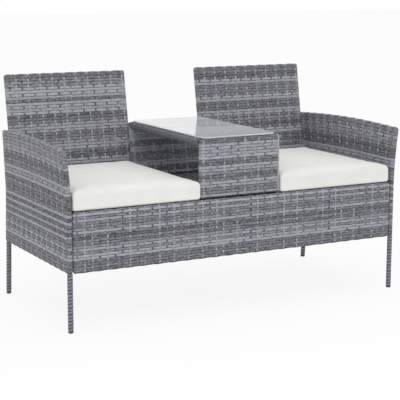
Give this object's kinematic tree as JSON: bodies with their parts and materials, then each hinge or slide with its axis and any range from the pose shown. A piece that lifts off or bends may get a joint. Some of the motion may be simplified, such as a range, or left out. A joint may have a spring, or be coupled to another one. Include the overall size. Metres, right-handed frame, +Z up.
{
  "type": "rattan garden bench",
  "caption": "Woven garden bench with leaning backs, flared arms, loose seat cushions and a glass-topped storage console between its seats.",
  "frame": {"origin": "floor level under the middle of the bench", "axes": "+X towards the right seat as its sitter faces -Y, +Y towards the backs, +Z up"},
  "size_m": [1.4042, 0.6794, 0.84],
  "materials": {
    "woven_grey": "flat woven strand, mottled grey",
    "powder_coated_steel": "black powder coat",
    "zinc_plated_steel": "zinc plated",
    "moulded_black": "moulded, satin",
    "clear_bumper": "soft clear plastic",
    "tempered_glass": "polished, ground edge",
    "off_white_cloth": "smooth woven polyester"
  },
  "bodies": {
    "bench": {"left_arm_frame": "powder_coated_steel", "left_arm_cover": "woven_grey", "left_front_leg_wrap": "woven_grey", "left_front_foot": "moulded_black", "left_rear_leg_wrap": "woven_grey", "left_rear_foot": "moulded_black", "right_arm_frame": "powder_coated_steel", "right_arm_cover": "woven_grey", "right_front_leg_wrap": "woven_grey", "right_front_foot": "moulded_black", "right_rear_leg_wrap": "woven_grey", "right_rear_foot": "moulded_black", "apron_frame": "powder_coated_steel", "apron_cover": "woven_grey", "seat_frame": "powder_coated_steel", "left_seat_deck": "woven_grey", "right_seat_deck": "woven_grey", "storage_floor": "woven_grey", "left_back_frame": "powder_coated_steel", "left_back_cover": "woven_grey", "right_back_frame": "powder_coated_steel", "right_back_cover": "woven_grey", "console_frame": "powder_coated_steel", "console_front_cover": "woven_grey", "console_rear_cover": "woven_grey", "console_left_rail_wrap": "woven_grey", "console_right_rail_wrap": "woven_grey", "glass_bumper_front_left": "clear_bumper", "glass_bumper_front_right": "clear_bumper", "glass_bumper_rear_left": "clear_bumper", "glass_bumper_rear_right": "clear_bumper", "arm_bolt_left_front": "zinc_plated_steel", "arm_bolt_left_rear": "zinc_plated_steel", "arm_bolt_right_front": "zinc_plated_steel", "arm_bolt_right_rear": "zinc_plated_steel", "apron_bolt_left_inner": "zinc_plated_steel", "apron_bolt_left_outer": "zinc_plated_steel", "apron_bolt_right_inner": "zinc_plated_steel", "apron_bolt_right_outer": "zinc_plated_steel", "back_bolt_left_inner": "zinc_plated_steel", "back_bolt_left_outer": "zinc_plated_steel", "back_bolt_right_inner": "zinc_plated_steel", "back_bolt_right_outer": "zinc_plated_steel", "console_bolt_front_left": "zinc_plated_steel", "console_bolt_front_right": "zinc_plated_steel", "console_bolt_rear_left": "zinc_plated_steel", "console_bolt_rear_right": "zinc_plated_steel"},
    "left_cushion": {"left_cushion": "off_white_cloth"},
    "right_cushion": {"right_cushion": "off_white_cloth"},
    "glass": {"glass_top": "tempered_glass"}
  },
  "joints": [
    {"name": "left_cushion_lift", "type": "slide", "parent": "bench", "child": "left_cushion", "axis": [0, 0, 1], "range_m": [0, 0.45]},
    {"name": "right_cushion_lift", "type": "slide", "parent": "bench", "child": "right_cushion", "axis": [0, 0, 1], "range_m": [0, 0.45]},
    {"name": "glass_lift", "type": "slide", "parent": "bench", "child": "glass", "axis": [0, 0, 1], "range_m": [0, 0.25]}
  ]
}
